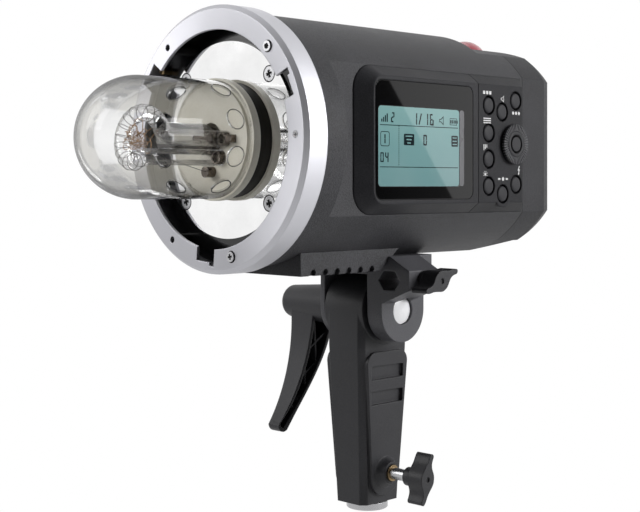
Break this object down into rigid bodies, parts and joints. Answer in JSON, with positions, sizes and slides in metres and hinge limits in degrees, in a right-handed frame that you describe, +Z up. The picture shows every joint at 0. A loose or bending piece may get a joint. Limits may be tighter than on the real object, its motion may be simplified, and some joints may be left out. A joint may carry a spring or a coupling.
{
  "type": "studio strobe",
  "caption": "Battery monolight studio strobe with a bayonet front ring, bare bulb under a glass dome, side control panel, tilting fork bracket and stand grip.",
  "frame": {"origin": "centre of the stand socket's mouth, at the grip's bottom face", "axes": "+Z up along the stand socket, the light points along -Y, the control panel is on +X, the battery and the tilt lever are on -X"},
  "size_m": [0.125, 0.2755, 0.2507],
  "materials": {
    "body_plastic": "dark charcoal, fine moulded texture",
    "panel_plastic": "dark grey control panel, fine texture",
    "grip_plastic": "black moulded nylon, satin",
    "black_plastic": "black, semi-gloss",
    "key_plastic": "dark grey key caps",
    "ring_metal": "silver-grey satin anodised ring",
    "steel": "plain steel",
    "chrome": "bright chrome",
    "brass": "plain brass",
    "mirror": "polished reflector",
    "black_paint": "black gloss paint",
    "ceramic": "beige ceramic, matt",
    "rubber": "black rubber",
    "clear_glass": "clear borosilicate glass",
    "screen_glass": "dark tinted cover glass",
    "lcd": "backlit display, pale teal",
    "red_lens": "red translucent lens",
    "copper": "oxidised copper wire",
    "holder_metal": "dark blued metal",
    "board": "green circuit board",
    "capacitor_sleeve": "dark blue sleeve",
    "green_led": "green light pipe"
  },
  "bodies": {
    "grip": {"grip_body": "grip_plastic", "stand_bush": "chrome", "brass_insert": "brass"},
    "stand_clamp": {"clamp_screw": "steel", "clamp_knob": "grip_plastic"},
    "head": {"front_ring": "ring_metal", "ring_screws": "steel", "mount_barrel": "black_paint", "reflector_plate": "mirror", "reflector_screws": "steel", "base_gasket": "rubber", "bulb_base": "ceramic", "glass_dome": "clear_glass", "flash_tube": "clear_glass", "trigger_wire": "copper", "modelling_lamp": "clear_glass", "lamp_holder": "holder_metal", "tube_terminals": "holder_metal", "main_shell": "body_plastic", "vent_skirt": "body_plastic", "rear_cap": "body_plastic", "housing_screws": "steel", "sensor_window": "red_lens", "console_frame": "panel_plastic", "screen_glass": "screen_glass", "lcd_panel": "lcd", "keypad_plate": "panel_plastic", "control_board": "board", "battery_contacts": "brass", "main_board": "board", "capacitors": "capacitor_sleeve", "fan_frame": "black_plastic", "jack_panel": "panel_plastic", "fork_bracket": "grip_plastic", "bracket_screws": "steel", "tilt_bolt": "chrome", "thrust_washers": "steel"},
    "lever": {"tilt_lever": "grip_plastic"},
    "umbrella_clamp": {"umbrella_screw": "steel", "umbrella_wing": "grip_plastic"},
    "mount_release": {"lock_pin": "brass", "release_slider": "black_plastic"},
    "battery": {"battery_pack": "body_plastic", "battery_leds": "green_led"},
    "latch": {"battery_latch": "black_plastic"},
    "check_button": {"battery_check_button": "black_plastic"},
    "set_key": {"set_button": "key_plastic"},
    "dial_wheel": {"dial": "black_plastic"},
    "fan": {"fan_rotor": "black_plastic"},
    "switch": {"power_switch": "black_plastic"},
    "port_flap": {"port_cover": "rubber"},
    "key_top_front": {"key_top_front": "key_plastic"},
    "key_top_mid": {"key_top_mid": "key_plastic"},
    "key_top_rear": {"key_top_rear": "key_plastic"},
    "key_menu": {"key_menu": "key_plastic"},
    "key_lamp": {"key_lamp": "key_plastic"},
    "key_low_front": {"key_low_front": "key_plastic"},
    "key_low_mid": {"key_low_mid": "key_plastic"},
    "key_low_rear": {"key_low_rear": "key_plastic"}
  },
  "joints": [
    {"name": "head_tilt", "type": "hinge", "parent": "grip", "child": "head", "pos_m": [0, 0, 0.1035], "axis": [1, 0, 0], "range_deg": [-90, 90]},
    {"name": "stand_clamp_turn", "type": "hinge", "parent": "grip", "child": "stand_clamp", "pos_m": [0, 0, 0.02], "axis": [1, 0, 0], "range_deg": [-360, 360]},
    {"name": "tilt_lever_turn", "type": "hinge", "parent": "head", "child": "lever", "pos_m": [0, 0, 0.1035], "axis": [1, 0, 0], "range_deg": [-60, 60]},
    {"name": "umbrella_clamp_turn", "type": "hinge", "parent": "head", "child": "umbrella_clamp", "pos_m": [0, -0.005, 0.1201], "axis": [1, 0, 0], "range_deg": [-360, 360]},
    {"name": "mount_release_slide", "type": "slide", "parent": "head", "child": "mount_release", "axis": [0, 1, 0], "range_m": [0, 0.004], "stiffness_N_per_m": 400, "springref_m": -0.003},
    {"name": "battery_slide", "type": "slide", "parent": "head", "child": "battery", "axis": [-1, 0, 0], "range_m": [0, 0.045]},
    {"name": "battery_latch_slide", "type": "slide", "parent": "battery", "child": "latch", "axis": [0, 1, 0], "range_m": [0, 0.004], "stiffness_N_per_m": 400, "springref_m": -0.003},
    {"name": "battery_check_press", "type": "slide", "parent": "battery", "child": "check_button", "axis": [1, 0, 0], "range_m": [0, 0.001], "stiffness_N_per_m": 800, "springref_m": -0.001},
    {"name": "set_press", "type": "slide", "parent": "head", "child": "set_key", "axis": [-1, 0, 0], "range_m": [0, 0.0006], "stiffness_N_per_m": 800, "springref_m": -0.001},
    {"name": "dial_turn", "type": "hinge", "parent": "head", "child": "dial_wheel", "pos_m": [0, 0.0516, 0.1882], "axis": [1, 0, 0], "continuous": true},
    {"name": "fan_turn", "type": "hinge", "parent": "head", "child": "fan", "pos_m": [0.016, 0.085, 0.1882], "axis": [0, 1, 0], "continuous": true},
    {"name": "power_switch_rock", "type": "hinge", "parent": "head", "child": "switch", "pos_m": [-0.028, 0.092, 0.2057], "axis": [1, 0, 0], "range_deg": [-7, 7]},
    {"name": "port_cover_hinge", "type": "hinge", "parent": "head", "child": "port_flap", "pos_m": [-0.0376, 0.0972, 0.1752], "axis": [0, 0, 1], "range_deg": [0, 100]},
    {"name": "key_top_front_press", "type": "slide", "parent": "head", "child": "key_top_front", "axis": [-1, 0, 0], "range_m": [0, 0.0008], "stiffness_N_per_m": 800, "springref_m": -0.001},
    {"name": "key_top_mid_press", "type": "slide", "parent": "head", "child": "key_top_mid", "axis": [-1, 0, 0], "range_m": [0, 0.0008], "stiffness_N_per_m": 800, "springref_m": -0.001},
    {"name": "key_top_rear_press", "type": "slide", "parent": "head", "child": "key_top_rear", "axis": [-1, 0, 0], "range_m": [0, 0.0008], "stiffness_N_per_m": 800, "springref_m": -0.001},
    {"name": "key_menu_press", "type": "slide", "parent": "head", "child": "key_menu", "axis": [-1, 0, 0], "range_m": [0, 0.0008], "stiffness_N_per_m": 800, "springref_m": -0.001},
    {"name": "key_lamp_press", "type": "slide", "parent": "head", "child": "key_lamp", "axis": [-1, 0, 0], "range_m": [0, 0.0008], "stiffness_N_per_m": 800, "springref_m": -0.001},
    {"name": "key_low_front_press", "type": "slide", "parent": "head", "child": "key_low_front", "axis": [-1, 0, 0], "range_m": [0, 0.0008], "stiffness_N_per_m": 800, "springref_m": -0.001},
    {"name": "key_low_mid_press", "type": "slide", "parent": "head", "child": "key_low_mid", "axis": [-1, 0, 0], "range_m": [0, 0.0008], "stiffness_N_per_m": 800, "springref_m": -0.001},
    {"name": "key_low_rear_press", "type": "slide", "parent": "head", "child": "key_low_rear", "axis": [-1, 0, 0], "range_m": [0, 0.0008], "stiffness_N_per_m": 800, "springref_m": -0.001}
  ]
}
